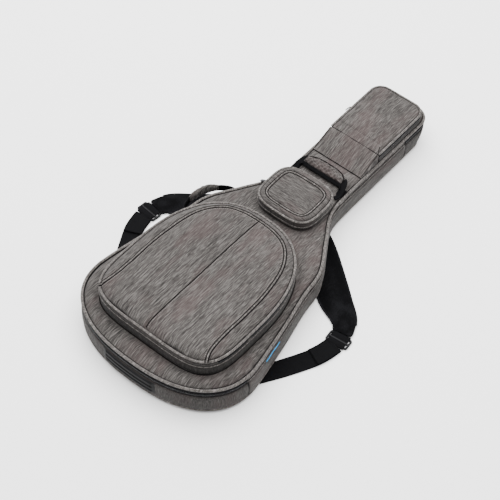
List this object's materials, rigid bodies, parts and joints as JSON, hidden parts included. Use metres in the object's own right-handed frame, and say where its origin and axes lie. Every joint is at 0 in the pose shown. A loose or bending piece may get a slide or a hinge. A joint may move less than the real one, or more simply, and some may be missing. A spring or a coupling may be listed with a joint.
{
  "type": "padded gig bag",
  "caption": "Padded soft case for a guitar with a zipped hinged lid, zipped front pockets, carry handles and padded backpack straps.",
  "frame": {"origin": "on the flat underside of the strap yoke on the back, on the bag's centre line, 0.600 m from the bottom end", "axes": "+X to the right seen from the front with the head up, +Y from the bottom end to the head, +Z out of the front, away from the back panel"},
  "size_m": [0.6362, 1.0324, 0.1459],
  "materials": {
    "heather_fabric": "heathered grey-brown padded woven polyester",
    "piping_fabric": "lighter woven piping",
    "lining_fabric": "brushed dark grey lining",
    "webbing": "black woven webbing",
    "strap_mesh": "black padded air mesh",
    "zip_tape": "black coil zip and tape",
    "zip_metal": "black enamelled metal",
    "black_plastic": "black moulded plastic",
    "bumper_rubber": "matt ribbed rubber",
    "foam": "foam covered with brushed lining",
    "tag_fabric": "plain cyan woven label"
  },
  "bodies": {
    "root": {"back_panel": "heather_fabric", "back_lining": "lining_fabric", "back_piping": "piping_fabric", "gusset_bottom": "heather_fabric", "gusset_body_right": "heather_fabric", "gusset_neck_right": "heather_fabric", "gusset_head": "heather_fabric", "gusset_neck_left": "heather_fabric", "gusset_body_left": "heather_fabric", "main_zip_lower_tape": "zip_tape", "lid_hinge_strip": "heather_fabric", "side_handle_base": "webbing", "strap_webbing_left": "webbing", "strap_webbing_right": "webbing", "strap_tab_left": "webbing", "strap_tab_right": "webbing", "strap_pad_left": "strap_mesh", "strap_pad_right": "strap_mesh", "strap_yoke": "strap_mesh", "bottom_bumper": "bumper_rubber", "side_tag": "tag_fabric", "neck_cradle": "foam", "end_pad": "foam"},
    "lid": {"lid_panel": "heather_fabric", "lid_lining": "lining_fabric", "lid_piping": "piping_fabric", "main_zip_upper_tape": "zip_tape", "large_pocket_wall": "heather_fabric", "large_pocket_zip": "zip_tape", "large_pocket_hinge_strip": "heather_fabric", "small_pocket_base": "heather_fabric", "small_pocket_zip": "zip_tape", "head_pocket_wall": "heather_fabric", "head_pocket_zip": "zip_tape", "head_pocket_ramp": "heather_fabric", "front_handle_base": "webbing"},
    "large_pocket_lid": {"large_pocket_panel": "heather_fabric", "large_pocket_piping": "piping_fabric"},
    "small_pocket_lid": {"small_pocket_cap_wall": "heather_fabric", "small_pocket_panel": "heather_fabric", "small_pocket_piping": "piping_fabric", "small_pocket_welt": "piping_fabric"},
    "head_pocket_lid": {"head_pocket_panel": "heather_fabric", "head_pocket_piping": "piping_fabric"},
    "front_handle": {"front_handle_webbing": "webbing", "front_handle_grip": "heather_fabric"},
    "side_handle": {"side_handle_webbing": "webbing", "side_handle_grip": "heather_fabric"},
    "main_slider_lower": {"main_slider_lower": "zip_metal"},
    "main_pull_lower": {"main_slider_lower_pull": "zip_metal"},
    "main_slider_upper": {"main_slider_upper": "zip_metal"},
    "main_pull_upper": {"main_slider_upper_pull": "zip_metal"},
    "large_pocket_slider": {"large_pocket_slider": "zip_metal"},
    "large_pocket_pull": {"large_pocket_slider_pull": "zip_metal"},
    "small_pocket_slider": {"small_pocket_slider": "zip_metal"},
    "small_pocket_pull": {"small_pocket_slider_pull": "zip_metal"},
    "head_pocket_slider": {"head_pocket_slider": "zip_metal"},
    "head_pocket_pull": {"head_pocket_slider_pull": "zip_metal"},
    "strap_lock_left": {"strap_lock_left": "black_plastic"},
    "strap_lock_right": {"strap_lock_right": "black_plastic"}
  },
  "joints": [
    {"name": "lid_open", "type": "hinge", "parent": "root", "child": "lid", "pos_m": [0.21163, -0.3486, 0.08256], "axis": [-0.1801, 0.9836, -0.0135], "range_deg": [0, 160]},
    {"name": "large_pocket_open", "type": "hinge", "parent": "lid", "child": "large_pocket_lid", "pos_m": [0, -0.53959, 0.13378], "axis": [1, 0, 0], "range_deg": [0, 100]},
    {"name": "small_pocket_open", "type": "hinge", "parent": "lid", "child": "small_pocket_lid", "pos_m": [0, 0.05253, 0.10947], "axis": [-1, 0, 0], "range_deg": [0, 75]},
    {"name": "head_pocket_open", "type": "hinge", "parent": "lid", "child": "head_pocket_lid", "pos_m": [0, 0.21233, 0.10778], "axis": [1, 0, 0], "range_deg": [0, 120]},
    {"name": "front_handle_lift", "type": "hinge", "parent": "lid", "child": "front_handle", "pos_m": [0, 0.07714, 0.09503], "axis": [1, 0, 0], "range_deg": [0, 90]},
    {"name": "side_handle_swing", "type": "hinge", "parent": "root", "child": "side_handle", "pos_m": [-0.16895, -0.12564, 0.05], "axis": [0.363, 0.9318, 0], "range_deg": [-35, 50]},
    {"name": "main_slider_lower_slide", "type": "slide", "parent": "root", "child": "main_slider_lower", "axis": [0, 1, 0], "range_m": [-0.08, 0]},
    {"name": "main_pull_lower_swing", "type": "hinge", "parent": "main_slider_lower", "child": "main_pull_lower", "pos_m": [-0.0839, 0.19, 0.06216], "axis": [0, 1, 0], "range_deg": [0, 150]},
    {"name": "main_slider_upper_slide", "type": "slide", "parent": "root", "child": "main_slider_upper", "axis": [0, 1, 0], "range_m": [0, 0.15]},
    {"name": "main_pull_upper_swing", "type": "hinge", "parent": "main_slider_upper", "child": "main_pull_upper", "pos_m": [-0.0839, 0.212, 0.06186], "axis": [0, 1, 0], "range_deg": [0, 150]},
    {"name": "large_pocket_slider_slide", "type": "slide", "parent": "lid", "child": "large_pocket_slider", "axis": [0, 0.9999, -0.0137], "range_m": [-0.06, 0.01]},
    {"name": "large_pocket_pull_swing", "type": "hinge", "parent": "large_pocket_slider", "child": "large_pocket_pull", "pos_m": [-0.18829, -0.37452, 0.12314], "axis": [0, 0.9999, -0.0137], "range_deg": [0, 150]},
    {"name": "small_pocket_slider_slide", "type": "slide", "parent": "lid", "child": "small_pocket_slider", "axis": [0, 0.9999, -0.0137], "range_m": [-0.02, 0.02]},
    {"name": "small_pocket_pull_swing", "type": "hinge", "parent": "small_pocket_slider", "child": "small_pocket_pull", "pos_m": [-0.08709, -0.01589, 0.09373], "axis": [0, 0.9999, -0.0137], "range_deg": [0, 90]},
    {"name": "head_pocket_slider_slide", "type": "slide", "parent": "lid", "child": "head_pocket_slider", "axis": [0, 0.9999, -0.0137], "range_m": [-0.07, 0.07]},
    {"name": "head_pocket_pull_swing", "type": "hinge", "parent": "head_pocket_slider", "child": "head_pocket_pull", "pos_m": [-0.08031, 0.30018, 0.0964], "axis": [0, 0.9999, -0.0137], "range_deg": [0, 110]},
    {"name": "strap_lock_left_tilt", "type": "hinge", "parent": "root", "child": "strap_lock_left", "pos_m": [-0.28626, -0.19759, 0.00275], "axis": [-0.995, 0.1, 0], "range_deg": [0, 50]},
    {"name": "strap_lock_right_tilt", "type": "hinge", "parent": "root", "child": "strap_lock_right", "pos_m": [0.28626, -0.19759, 0.00275], "axis": [-0.995, -0.1, 0], "range_deg": [0, 50]}
  ]
}
